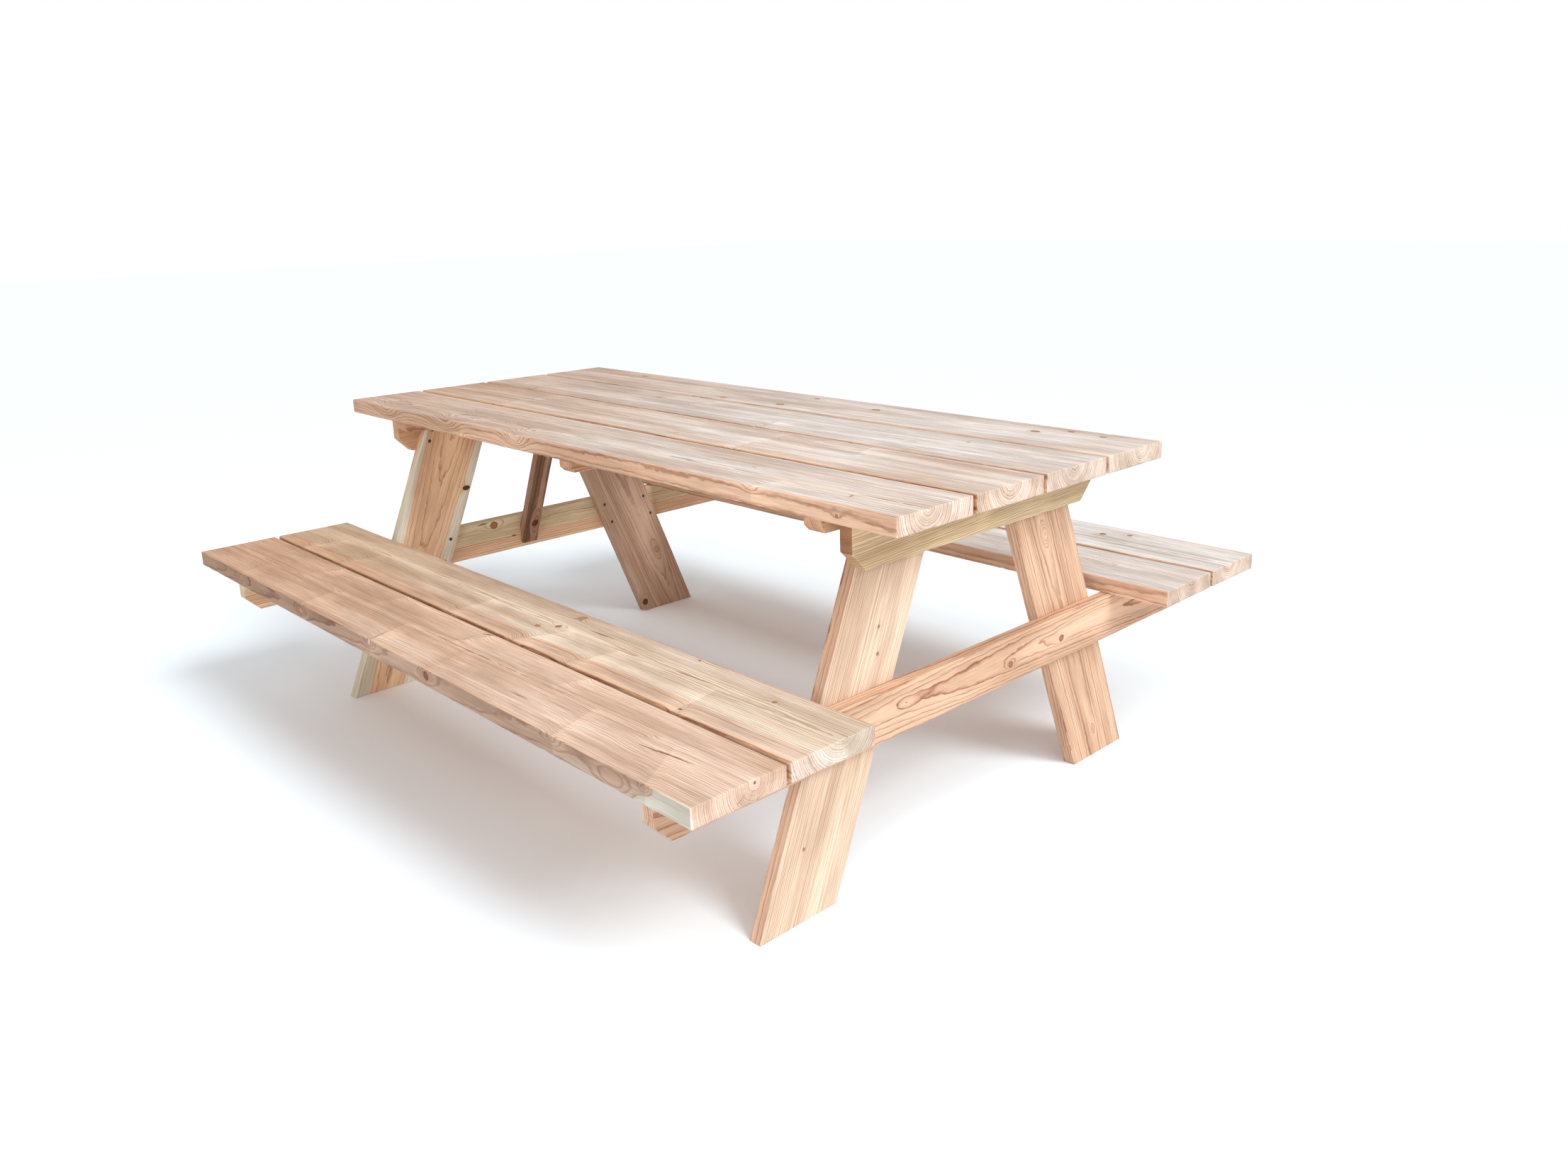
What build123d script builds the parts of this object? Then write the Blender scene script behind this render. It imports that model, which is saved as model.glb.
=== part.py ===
from build123d import *

import os
from math import cos, radians, sin, tan

# Free-standing picnic table with two fixed benches, in planed softwood boards and countersunk wood screws.
# Millimetres. The origin is on the floor at the table's centre, X runs along the boards, Y across the table
# and Z up. The front bench is on the -Y side, and the right-hand end frame is on the +X side.

# Overall sizes
board_length = 2000
table_height = 780
seat_height = 438
bench_outer_reach = 865

# Boards of the top and the benches
board_thickness = 36
board_gap = 10
table_plank_width = 200
table_plank_count = 4
bench_plank_width = 192

# End frames: legs, with the rails on their outer side
frame_outer_x = 830
frame_thickness = 30
leg_width = 180
leg_splay = 22
foot_centre_reach = 494
rail_height = 100
rail_end_cut = 38
top_rail_half_length = 373
seat_rail_half_length = 829

# Battens under the top, and the brace cut from the same section
batten_width = 45
batten_thickness = 35
batten_half_length = 387
batten_end_cut = 12
brace_lean = 24
brace_seat_low = 316
brace_seat_high = 368

arris_radius = 3
end_arris = 1

# Screws: the thinner ones in five places, the thicker ones up through the seat rails
screw_radius = 2.5
screw_head_radius = 5
bench_screw_radius = 3
bench_screw_head_radius = 6
screw_tip_length = 5
screw_sink = 0.5
screw_clearance = 0.05
drive_share_of_head = 0.3
lobe_share_of_drive = 0.3
drive_share_of_depth = 0.8
frame_screw_length = 50
table_screw_length = 60
batten_screw_length = 70
bench_screw_length = 80

# Screw places, as distances from the edges or centres of the boards
frame_screw_edge = 20
top_frame_screw_heights = (25, 55)
table_screw_offset = 50
batten_screw_offset = 22
bench_screw_offset = 56
bench_screw_depth = 40
brace_screw_offset = 14
brace_seat_screw_drop = 16
brace_top_screw_drop = 20
brace_top_screw_depth = 2

# Sizes that follow
table_underside = table_height - board_thickness
seat_underside = seat_height - board_thickness
top_rail_low = table_underside - rail_height
seat_rail_low = seat_underside - rail_height
batten_low = table_underside - batten_thickness
frame_inner_x = frame_outer_x - frame_thickness
rail_centre_x = frame_outer_x + frame_thickness / 2
rail_outer_x = frame_outer_x + frame_thickness

splay = radians(leg_splay)
lean = radians(brace_lean)
leg_half_width = leg_width / 2 / cos(splay)
leg_screw_reach = leg_half_width - frame_screw_edge / cos(splay)

table_pitch = table_plank_width + board_gap
bench_pitch = bench_plank_width + board_gap
bench_first_reach = bench_outer_reach - bench_plank_width / 2
seat_rail_flat_end = seat_rail_half_length - rail_end_cut

end_batten_x = frame_inner_x - batten_width / 2
brace_depth = batten_thickness / cos(lean)

ends = {"left": -1, "right": 1}
sides = {"front": -1, "back": 1}
bench_planks = {"outer": bench_first_reach, "inner": bench_first_reach - bench_pitch}
battens = {"left": -end_batten_x, "middle": 0, "right": end_batten_x}
table_planks = [
    (index - (table_plank_count - 1) / 2) * table_pitch for index in range(table_plank_count)
]

os.makedirs("parts", exist_ok=True)


def save(builder, name):
    """Labels a finished piece and writes its STEP file."""
    builder.part.label = name
    export_step(builder.part, f"parts/{name}.step")


def leg_reach(z):
    """Distance of a leg's centre line from the table's middle plane, at height z."""
    return foot_centre_reach - z * tan(splay)


def brace_back_x(z):
    """Where the back face of the brace is at height z, before its lower end is cut to seat on the rail."""
    return -frame_outer_x + (z - brace_seat_high) * tan(lean)


def ease(board, along):
    """Rounds a board's long edges, and takes the sharpness off its two sawn ends."""
    fillet(board.edges().filter_by(along), radius=arris_radius)
    sawn_ends = board.faces().sort_by(along)
    chamfer(sawn_ends[0].edges() + sawn_ends[-1].edges(), length=end_arris)


# Screws. Each is placed by the plane of the wood's surface at its head, facing out of the wood.


def seat_frame_screws(end, side):
    """Four screws from a leg's inner face into the seat rail."""
    heights = (seat_rail_low + frame_screw_edge, seat_underside - frame_screw_edge)
    return leg_face_screws(end, side, heights)


def top_frame_screws(end, side):
    """Four screws from a leg's inner face into the top rail, below the batten that covers the leg's top."""
    heights = [top_rail_low + height for height in top_frame_screw_heights]
    return leg_face_screws(end, side, heights)


def leg_face_screws(end, side, heights):
    """Screws on a leg's inner face, one near each of its edges at each of the heights."""
    return [
        Plane(
            origin=(end * frame_inner_x, side * (leg_reach(z) + edge * leg_screw_reach), z),
            z_dir=(-end, 0, 0),
        )
        for z in heights
        for edge in (-1, 1)
    ]


def table_screws(plank_y, batten_x):
    """Two screws up through a batten into one plank of the top."""
    return [
        Plane(origin=(batten_x, plank_y + offset, batten_low), z_dir=(0, 0, -1))
        for offset in (-table_screw_offset, table_screw_offset)
    ]


def batten_screws(end, side):
    """Two screws from an end batten's inner face into a leg."""
    z = table_underside - batten_thickness / 2
    return [
        Plane(
            origin=(end * (frame_inner_x - batten_width), side * (leg_reach(z) + offset), z),
            z_dir=(-end, 0, 0),
        )
        for offset in (-batten_screw_offset, batten_screw_offset)
    ]


def bench_screws(end, side, plank_reach):
    """Two screws up through a seat rail into one bench plank, in deep holes from the rail's lower edge."""
    last_reach = seat_rail_flat_end - frame_screw_edge
    reaches = (plank_reach - bench_screw_offset, min(plank_reach + bench_screw_offset, last_reach))
    return [
        Plane(
            origin=(end * rail_centre_x, side * reach, seat_rail_low + bench_screw_depth),
            z_dir=(0, 0, -1),
        )
        for reach in reaches
    ]


def brace_seat_screws():
    """Two screws through the left seat rail's outer face into the foot of the brace."""
    z = brace_seat_high - brace_seat_screw_drop
    return [
        Plane(origin=(-rail_outer_x, offset, z), z_dir=(-1, 0, 0))
        for offset in (-brace_screw_offset, brace_screw_offset)
    ]


def brace_top_screws():
    """Two slanting screws through the head of the brace, one into each of the two middle planks."""
    z = table_underside - brace_top_screw_drop
    facing = Vector(1, 0, -1).normalized()
    return [
        Plane(
            origin=Vector(brace_back_x(z) + brace_depth, offset, z) - facing * brace_top_screw_depth,
            z_dir=facing,
        )
        for offset in (-brace_screw_offset, brace_screw_offset)
    ]


def drill(surfaces, length, radius=screw_radius, head_radius=screw_head_radius):
    """Cuts the countersunk holes of screws into the current piece."""
    with Locations(*[surface.location for surface in surfaces]):
        CounterSinkHole(
            radius=radius + screw_clearance,
            counter_sink_radius=head_radius + screw_sink + screw_clearance,
            depth=length + screw_sink + screw_clearance,
            counter_sink_angle=90,
        )


def drill_for_bench(surfaces):
    """Cuts the holes of the thicker screws that hold the bench planks."""
    drill(surfaces, bench_screw_length, bench_screw_radius, bench_screw_head_radius)


def save_screws(name, surfaces, length, radius=screw_radius, head_radius=screw_head_radius):
    """Makes one node of identical countersunk screws with six-lobe drives, sunk just below the wood."""
    head_height = head_radius - radius
    drive_radius = drive_share_of_head * head_radius
    lobe_radius = lobe_share_of_drive * drive_radius
    drive_depth = drive_share_of_depth * head_height

    with BuildPart() as screw:
        with BuildSketch(Plane.XZ):
            with BuildLine():
                Polyline(
                    (0, 0),
                    (head_radius, 0),
                    (radius, -head_height),
                    (radius, screw_tip_length - length),
                    (0, -length),
                    close=True,
                )
            make_face()
        revolve(axis=Axis.Z)
        with BuildSketch():
            Circle(drive_radius)
            with PolarLocations(drive_radius, 6):
                Circle(lobe_radius)
        extrude(amount=-drive_depth, mode=Mode.SUBTRACT)

    with BuildPart() as group:
        with Locations(*[surface.offset(-screw_sink).location for surface in surfaces]):
            add(screw.part)
    save(group, name)


# Planks of the top, counted from the front

for index, plank_y in enumerate(table_planks):
    with BuildPart() as table_plank:
        with BuildSketch(Plane.XY.offset(table_underside)):
            with Locations((0, plank_y)):
                Rectangle(board_length, table_plank_width)
        extrude(amount=board_thickness)
        ease(table_plank, Axis.X)
        for batten_x in battens.values():
            drill(table_screws(plank_y, batten_x), table_screw_length)
        if abs(plank_y) < table_pitch:
            drill(brace_top_screws(), frame_screw_length)
    save(table_plank, f"tabletop_plank_{index + 1}")

# Bench planks

for side, side_sign in sides.items():
    for place, reach in bench_planks.items():
        with BuildPart() as bench_plank:
            with BuildSketch(Plane.XY.offset(seat_underside)):
                with Locations((0, side_sign * reach)):
                    Rectangle(board_length, bench_plank_width)
            extrude(amount=board_thickness)
            ease(bench_plank, Axis.X)
            for end_sign in ends.values():
                drill_for_bench(bench_screws(end_sign, side_sign, reach))
        save(bench_plank, f"{side}_bench_{place}_plank")

# Legs: parallelograms cut level at the floor and under the top

for end, end_sign in ends.items():
    for side, side_sign in sides.items():
        with BuildPart() as leg:
            with BuildSketch(Plane.YZ.offset(end_sign * frame_inner_x)):
                with BuildLine():
                    Polyline(
                        (side_sign * (leg_reach(0) - leg_half_width), 0),
                        (side_sign * (leg_reach(0) + leg_half_width), 0),
                        (side_sign * (leg_reach(table_underside) + leg_half_width), table_underside),
                        (side_sign * (leg_reach(table_underside) - leg_half_width), table_underside),
                        close=True,
                    )
                make_face()
            extrude(amount=end_sign * frame_thickness)
            ease(leg, Axis((0, 0, 0), (0, -side_sign * sin(splay), cos(splay))))
            drill(seat_frame_screws(end_sign, side_sign), frame_screw_length)
            drill(top_frame_screws(end_sign, side_sign), frame_screw_length)
            drill(batten_screws(end_sign, side_sign), batten_screw_length)
        save(leg, f"{end}_{side}_leg")

# Rails: boards on edge against the outer faces of the legs, with their lower ends cut away

rails = {"top": (top_rail_low, top_rail_half_length), "seat": (seat_rail_low, seat_rail_half_length)}

for end, end_sign in ends.items():
    for level, (low, half_length) in rails.items():
        with BuildPart() as rail:
            with BuildSketch(Plane.XY.offset(low)):
                with Locations((end_sign * rail_centre_x, 0)):
                    Rectangle(frame_thickness, 2 * half_length)
            extrude(amount=rail_height)
            chamfer(rail.edges().filter_by(Axis.X).group_by(Axis.Z)[0], length=rail_end_cut)
            ease(rail, Axis.Y)
            for side_sign in sides.values():
                if level == "top":
                    drill(top_frame_screws(end_sign, side_sign), frame_screw_length)
                    continue
                drill(seat_frame_screws(end_sign, side_sign), frame_screw_length)
                for reach in bench_planks.values():
                    drill_for_bench(bench_screws(end_sign, side_sign, reach))
            if (end, level) == ("left", "seat"):
                drill(brace_seat_screws(), frame_screw_length)
        save(rail, f"{end}_{level}_rail")

# Battens across the underside of the top: one at the middle, one against the legs at each end

for place, batten_x in battens.items():
    with BuildPart() as batten:
        with BuildSketch(Plane.XY.offset(batten_low)):
            with Locations((batten_x, 0)):
                Rectangle(batten_width, 2 * batten_half_length)
        extrude(amount=batten_thickness)
        chamfer(batten.edges().filter_by(Axis.X).group_by(Axis.Z)[0], length=batten_end_cut)
        ease(batten, Axis.Y)
        for plank_y in table_planks:
            drill(table_screws(plank_y, batten_x), table_screw_length)
        if place in ends:
            for side_sign in sides.values():
                drill(batten_screws(ends[place], side_sign), batten_screw_length)
    save(batten, f"{place}_top_batten")

# Brace: leans from the inner face of the left seat rail to the underside of the top

with BuildPart() as brace:
    with BuildSketch(Plane.XZ.offset(-batten_width / 2)):
        with BuildLine():
            Polyline(
                (-frame_outer_x, brace_seat_low),
                (-frame_outer_x, brace_seat_high),
                (brace_back_x(table_underside), table_underside),
                (brace_back_x(table_underside) + brace_depth, table_underside),
                (brace_back_x(brace_seat_low) + brace_depth, brace_seat_low),
                close=True,
            )
        make_face()
    extrude(amount=batten_width)
    fillet(brace.edges().filter_by(Axis((0, 0, 0), (sin(lean), 0, cos(lean)))), radius=arris_radius)
    drill(brace_seat_screws(), frame_screw_length)
    drill(brace_top_screws(), frame_screw_length)
save(brace, "left_brace")

# Screws

corners = [(end_sign, side_sign) for end_sign in ends.values() for side_sign in sides.values()]

save_screws(
    "seat_rail_screws",
    [surface for corner in corners for surface in seat_frame_screws(*corner)],
    frame_screw_length,
)
save_screws(
    "top_rail_screws",
    [surface for corner in corners for surface in top_frame_screws(*corner)],
    frame_screw_length,
)
save_screws(
    "tabletop_screws",
    [
        surface
        for plank_y in table_planks
        for batten_x in battens.values()
        for surface in table_screws(plank_y, batten_x)
    ],
    table_screw_length,
)
save_screws(
    "leg_top_screws",
    [surface for corner in corners for surface in batten_screws(*corner)],
    batten_screw_length,
)
save_screws(
    "bench_screws",
    [
        surface
        for corner in corners
        for reach in bench_planks.values()
        for surface in bench_screws(*corner, reach)
    ],
    bench_screw_length,
    bench_screw_radius,
    bench_screw_head_radius,
)
save_screws("brace_screws", brace_seat_screws() + brace_top_screws(), frame_screw_length)
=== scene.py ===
import math
import random
from collections import namedtuple
from itertools import product

import bmesh
import bpy
import numpy as np
from mathutils import Matrix, Vector


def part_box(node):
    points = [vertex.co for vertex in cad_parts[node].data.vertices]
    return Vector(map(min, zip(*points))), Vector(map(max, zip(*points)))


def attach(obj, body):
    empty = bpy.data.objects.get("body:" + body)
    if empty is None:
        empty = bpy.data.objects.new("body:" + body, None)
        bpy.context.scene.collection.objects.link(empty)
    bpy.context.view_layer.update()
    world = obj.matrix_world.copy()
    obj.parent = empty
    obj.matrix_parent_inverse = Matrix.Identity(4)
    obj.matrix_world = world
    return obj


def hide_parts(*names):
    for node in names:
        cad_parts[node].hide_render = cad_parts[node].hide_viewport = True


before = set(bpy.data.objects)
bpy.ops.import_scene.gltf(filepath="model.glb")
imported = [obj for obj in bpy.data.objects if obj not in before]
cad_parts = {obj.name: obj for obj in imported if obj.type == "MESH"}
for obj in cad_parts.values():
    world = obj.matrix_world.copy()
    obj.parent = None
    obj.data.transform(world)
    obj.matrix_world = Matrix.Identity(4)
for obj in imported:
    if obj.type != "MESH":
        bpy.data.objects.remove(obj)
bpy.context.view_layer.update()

MM = 0.001


# ---------------------------------------------------------------- boards as data read from the frame

class Board:
    """A board's place in the table: which way it runs, how wide it is along its length, and its grain frame.

    axes are the world axes, as 0 to 2, of its length, width and thickness. span gives the two edges across
    the width at each place along the length, so that a splayed leg or a rail with cut ends is one eased box
    bent to shape. break_points are the places along the length where that shape has a corner.
    """

    def __init__(self, node, axes):
        self.node = node
        self.axes = axes
        self.corners = low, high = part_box(node)
        self.low = np.array([low[a] for a in axes])
        self.high = np.array([high[a] for a in axes])
        self.centre = Vector((low + high) / 2)
        self.length = self.high[0] - self.low[0]
        self.break_points = ()
        self.run, self.across, self.through = (
            Vector([float(a == axis) for a in range(3)]) for axis in axes
        )

    def span(self, u):
        """The two edges across the width, at each place u along the length."""
        return np.full_like(u, self.low[1]), np.full_like(u, self.high[1])


def level_extent(node, axis, level, across):
    """How far a node's vertices reach along one axis, close to a level on another."""
    slack = 1.5 * MM
    points = np.array([v.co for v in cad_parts[node].data.vertices])
    near = points[np.abs(points[:, axis] - level) < slack, across]
    return near.min(), near.max()


class SlantedBoard(Board):
    """A board that leans with its ends cut level: a leg, or the brace, whose foot is also cut upright."""

    def __init__(self, node, axes):
        super().__init__(node, axes)
        run, across = axes[0], axes[1]
        self.foot = level_extent(node, run, self.low[0], across)
        self.head = level_extent(node, run, self.high[0], across)
        middle_foot = sum(self.foot) / 2
        middle_head = sum(self.head) / 2
        if node.endswith("brace"):
            middle_foot = self.foot[1] - (self.head[1] - self.head[0]) / 2
        self.run = Vector()
        self.run[run] = self.length
        self.run[across] = middle_head - middle_foot
        self.run.normalize()
        self.across = Vector()
        self.across[run] = -self.run[across]
        self.across[across] = self.run[run]

    def span(self, u):
        share = (u - self.low[0]) / self.length
        far = self.foot[1] + share * (self.head[1] - self.foot[1])
        if self.node.endswith("brace"):
            depth = self.head[1] - self.head[0]
            return np.maximum(far - depth, self.low[1]), far
        return self.foot[0] + share * (self.head[0] - self.foot[0]), far


class CutBoard(Board):
    """A rail or batten whose lower corners are cut away at both ends."""

    def __init__(self, node, axes):
        super().__init__(node, axes)
        flat = level_extent(node, axes[1], self.low[1], axes[0])
        self.flat_end = flat[1]
        self.break_points = (-self.flat_end, self.flat_end)

    def span(self, u):
        cut = np.maximum(np.abs(u) - self.flat_end, 0.0)
        return self.low[1] + cut, np.full_like(u, self.high[1])


# ---------------------------------------------------------------- board meshes

EASING_LOOPS = 3
ALONG_STEP = 5 * MM
ACROSS_STEP = 9 * MM

# Sawn ends are eased less than the long edges, whose roundness varies. Faces are bowed and cupped a little.
END_EASING = 1.2 * MM
EDGE_ROUNDING = 3.0 * MM
EDGE_WEAR = 1.0 * MM
BOW = 0.5 * MM
CUP = 0.25 * MM

# Small knocks along the long edges, with the least and the greatest of their radii and depths
DENTS_PER_METRE = 7
DENT_END_CLEARANCE = 20 * MM
DENT_RADII = (6 * MM, 15 * MM)
DENT_DEPTHS = (0.2 * MM, 0.9 * MM)


def eased_axis(length, step, stops=()):
    """Grid places along one axis as two lists: a share of the flat part from -1 to 1, and a share of the
    easing from -1 to 1 that is 0 on the flat part."""
    count = max(2, round(length / step))
    flat = sorted(set(np.linspace(-1, 1, count + 1)) | set(stops))
    turns = [math.tan(math.pi / 4 * (i + 1) / EASING_LOOPS) for i in range(EASING_LOOPS)]
    shares = [-1.0] * EASING_LOOPS + flat + [1.0] * EASING_LOOPS
    easing = [-t for t in reversed(turns)] + [0.0] * len(flat) + turns
    return np.array(shares), np.array(easing)


def box_surface(counts):
    """Grid indices of the points on the surface of a lattice, and the quads that join them."""
    index = {}
    quads = []
    for fixed, first, second in ((2, 0, 1), (1, 0, 2), (0, 1, 2)):
        sides = ((0, fixed != 1), (counts[fixed] - 1, fixed == 1))
        for i, j in product(range(counts[first] - 1), range(counts[second] - 1)):
            for level, flip in sides:
                quad = []
                for step_i, step_j in ((0, 0), (1, 0), (1, 1), (0, 1)):
                    place = [level] * 3
                    place[first] = i + step_i
                    place[second] = j + step_j
                    quad.append(index.setdefault(tuple(place), len(index)))
                quads.append(quad[::-1] if flip else quad)
    return np.array(list(index)), quads


def waves(rng, count, shortest, longest):
    """A smooth random function of position along a board, from -1 to 1, made of waves of random lengths."""
    parts = [(rng.uniform(0, math.tau), math.tau / rng.uniform(shortest, longest)) for _ in range(count)]
    return lambda u: sum(np.sin(u * rate + phase) for phase, rate in parts) / count


def board_points(board, rng):
    """Points and quads of a board with eased edges of uneven roundness, slightly bowed and cupped."""
    mid = (board.low + board.high) / 2
    half_length = board.length / 2
    stops = [(stop - mid[0]) / half_length for stop in board.break_points]
    share_u, ease_u = eased_axis(board.length, ALONG_STEP, stops)
    share_v, ease_v = eased_axis(board.high[1] - board.low[1], ACROSS_STEP)
    share_w, ease_w = eased_axis(board.high[2] - board.low[2], ACROSS_STEP)
    grid, quads = box_surface((len(share_u), len(share_v), len(share_w)))
    s = np.stack([share_u[grid[:, 0]], share_v[grid[:, 1]], share_w[grid[:, 2]]], axis=1)
    t = np.stack([ease_u[grid[:, 0]], ease_v[grid[:, 1]], ease_w[grid[:, 2]]], axis=1)
    turned = t / np.maximum(np.linalg.norm(t, axis=1, keepdims=True), 1.0)

    u = mid[0] + s[:, 0] * (half_length - END_EASING) + turned[:, 0] * END_EASING

    # The four long edges read the same waves at places of their own, so each of them wears in its own way
    wear = waves(rng, 5, 0.05, 0.7)
    own_place = np.sign(s[:, 1]) * 1.3 + np.sign(s[:, 2]) * 2.1
    round_edge = EDGE_ROUNDING + EDGE_WEAR * wear(u + own_place)
    low_v, high_v = board.span(u)
    bow = BOW * waves(rng, 3, 0.6, 2.5)(u)
    half_v = (high_v - low_v) / 2
    v = (low_v + high_v) / 2 + s[:, 1] * (half_v - round_edge) + turned[:, 1] * round_edge + bow
    half_w = (board.high[2] - board.low[2]) / 2
    cup = CUP * (s[:, 1] ** 2 - 0.5)
    w = mid[2] + s[:, 2] * (half_w - round_edge) + turned[:, 2] * round_edge + cup

    points = np.zeros((len(u), 3))
    points[:, board.axes[0]] = u
    points[:, board.axes[1]] = v
    points[:, board.axes[2]] = w
    return points, quads


def dent(points, centre, radius, inward):
    """Moves the points within a radius of centre inward, the nearest ones the furthest."""
    distance = np.linalg.norm(points - centre, axis=1) / radius
    depth = np.clip(1 - distance**2, 0, None) ** 2
    points += depth[:, None] * np.array(inward)


def edge_dents(board, points, rng):
    """Small knocks along a board's long edges."""
    for _ in range(round(DENTS_PER_METRE * board.length)):
        u = rng.uniform(board.low[0] + DENT_END_CLEARANCE, board.high[0] - DENT_END_CLEARANCE)
        low_v, high_v = board.span(np.array([u]))
        side_v, side_w = rng.choice((-1, 1)), rng.choice((-1, 1))
        corner = np.zeros(3)
        corner[board.axes[0]] = u
        corner[board.axes[1]] = (high_v if side_v > 0 else low_v)[0]
        corner[board.axes[2]] = board.high[2] if side_w > 0 else board.low[2]
        inward = np.zeros(3)
        inward[board.axes[1]] = -side_v
        inward[board.axes[2]] = -side_w
        dent(points, corner, rng.uniform(*DENT_RADII), inward * rng.uniform(*DENT_DEPTHS))


def new_mesh_object(name, points, faces):
    """A smoothly shaded object with its faces turned outward."""
    mesh = bpy.data.meshes.new(name)
    mesh.from_pydata([tuple(p) for p in points], [], faces)
    work = bmesh.new()
    work.from_mesh(mesh)
    bmesh.ops.recalc_face_normals(work, faces=work.faces)
    work.to_mesh(mesh)
    work.free()
    mesh.polygons.foreach_set("use_smooth", [True] * len(mesh.polygons))
    obj = bpy.data.objects.new(name, mesh)
    bpy.context.scene.collection.objects.link(obj)
    return obj


# ---------------------------------------------------------------- screws and their holes

SCREW_SIDES = 24
THREAD_STEPS_PER_TURN = 6
HOLE_SIDES = 32
HOLE_SLACK = 0.05 * MM
# How deep the screw heads sit below the wood, and how far the holes are left open above them
HEAD_SINK = 0.5 * MM
OPEN_HEIGHT = 45 * MM
SHARP_ANGLE = math.radians(35)


class Screw:
    """A countersunk screw's place and size, read from its simple shape in the frame."""

    def __init__(self, points):
        middle = sum(points, Vector()) / len(points)
        self.tip = max(points, key=lambda point: (point - middle).length)
        distances = [(point - self.tip).length for point in points]
        rim = [point for point, distance in zip(points, distances) if distance > max(distances) - 0.05 * MM]
        self.head = sum(rim, Vector()) / len(rim)
        self.head_radius = (rim[0] - self.head).length
        self.radius = self.head_radius / 2
        self.length = (self.head - self.tip).length
        self.turn = (self.head - self.tip).to_track_quat("Z", "X").to_matrix().to_4x4()

    def place(self, local_points):
        """Moves points from the screw's own frame, with its head at zero and facing up, into the table."""
        matrix = Matrix.Translation(self.head) @ self.turn
        return [matrix @ Vector(point) for point in local_points]


def separate_pieces(obj):
    """The points of each separate piece of a mesh whose faces may not share their points."""
    parent = list(range(len(obj.data.vertices)))
    first_at = {}

    def root(index):
        while parent[index] != index:
            parent[index] = parent[parent[index]]
            index = parent[index]
        return index

    for edge in obj.data.edges:
        first, second = edge.vertices
        parent[root(first)] = root(second)
    for vertex in obj.data.vertices:
        same = first_at.setdefault(tuple(round(value, 6) for value in vertex.co), vertex.index)
        parent[root(vertex.index)] = root(same)
    pieces = {}
    for vertex in obj.data.vertices:
        pieces.setdefault(root(vertex.index), []).append(vertex.co.copy())
    return list(pieces.values())


def lathe(rings, sides, first_index):
    """Points and faces of a shape from rings of points, closed by one face at each end."""
    points = [point for ring in rings for point in ring]
    faces = []
    for level in range(len(rings) - 1):
        for side in range(sides):
            near = level * sides + side
            far = level * sides + (side + 1) % sides
            faces.append([first_index + i for i in (near, far, far + sides, near + sides)])
    last = (len(rings) - 1) * sides
    faces.append([first_index + side for side in range(sides)][::-1])
    faces.append([first_index + last + side for side in range(sides)])
    return points, faces


def turned(screws, profile, sides):
    """Points and faces of one lathed shape per screw, in the screws' places. profile gives a screw's rings
    as pairs of a radius and a height. The radius may be a function of the angle."""
    angles = [math.tau * side / sides for side in range(sides)]
    points, faces = [], []
    for screw in screws:
        rings = []
        for radius, height in profile(screw):
            reaches = [radius(angle) if callable(radius) else radius for angle in angles]
            ring = [(r * math.cos(angle), r * math.sin(angle), height) for r, angle in zip(reaches, angles)]
            rings.append(ring)
        more_points, more_faces = lathe(rings, sides, len(points))
        points += screw.place(more_points)
        faces += more_faces
    return points, faces


def screw_profile(screw):
    """A wood screw from the floor of its six-lobe drive to its tip, with a plain neck and a rolled thread."""
    head, shank = screw.head_radius, screw.radius
    neck = head - shank
    drive_depth = 0.8 * neck
    rounding = 0.2 * MM
    thread_start = 0.4 * screw.length
    pitch = 0.95 * shank
    core = 0.64 * shank

    def lobes(angle):
        return 0.34 * head * (1 + 0.16 * math.cos(6 * angle))

    def thread(depth, taper):
        def radius(angle):
            phase = (depth / pitch + angle / math.tau) % 1.0
            ridge = max(0.0, 1.0 - abs(phase - 0.5) / 0.3)
            return taper * (core + (shank - core) * ridge)
        return radius

    profile = [
        (0.05 * head, -drive_depth),
        (lobes, -drive_depth),
        (lobes, 0),
        (head - rounding, 0),
        (head, -rounding),
        (0.8 * shank, -neck),
        (0.74 * shank, 1.0 * MM - thread_start),
    ]
    steps = round((screw.length - thread_start) / pitch * THREAD_STEPS_PER_TURN)
    for step in range(steps):
        depth = thread_start + step * pitch / THREAD_STEPS_PER_TURN
        taper = min(1.0, (screw.length - depth) / (2.2 * shank), 0.3 + 0.2 * step)
        profile.append((thread(depth, taper), -depth))
    profile.append((0.02 * shank, -screw.length))
    return profile


def steel_material():
    """Zinc-plated steel, dulled unevenly."""
    material = bpy.data.materials.new("screw_steel")
    material.use_nodes = True
    n = Nodes(material.node_tree)
    shader = material.node_tree.nodes["Principled BSDF"]
    place = n.add("ShaderNodeTexCoord").outputs["Object"]
    dull = n.noise(place, (900.0, 900.0, 900.0), 1.0, detail=3.0)
    tint = n.mix(dull, colour(62, 58, 54), colour(112, 106, 98))
    n.feed(shader.inputs["Base Color"], tint)
    n.feed(shader.inputs["Roughness"], n.ranged(dull, 0.3, 0.55))
    n.feed(shader.inputs["Metallic"], 1.0)
    return material


def build_screws():
    """Replaces the plain screws of the frame with threaded ones, and returns where they are."""
    steel = steel_material()
    found = []
    for node in [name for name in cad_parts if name.endswith("screws")]:
        screws = [Screw(points) for points in separate_pieces(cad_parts[node])]
        found += screws
        obj = new_mesh_object(f"{node}_threaded", *turned(screws, screw_profile, SCREW_SIDES))
        obj.data.set_sharp_from_angle(angle=SHARP_ANGLE)
        obj.data.materials.append(steel)
        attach(obj, "root")
        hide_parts(node)
    return found


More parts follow.
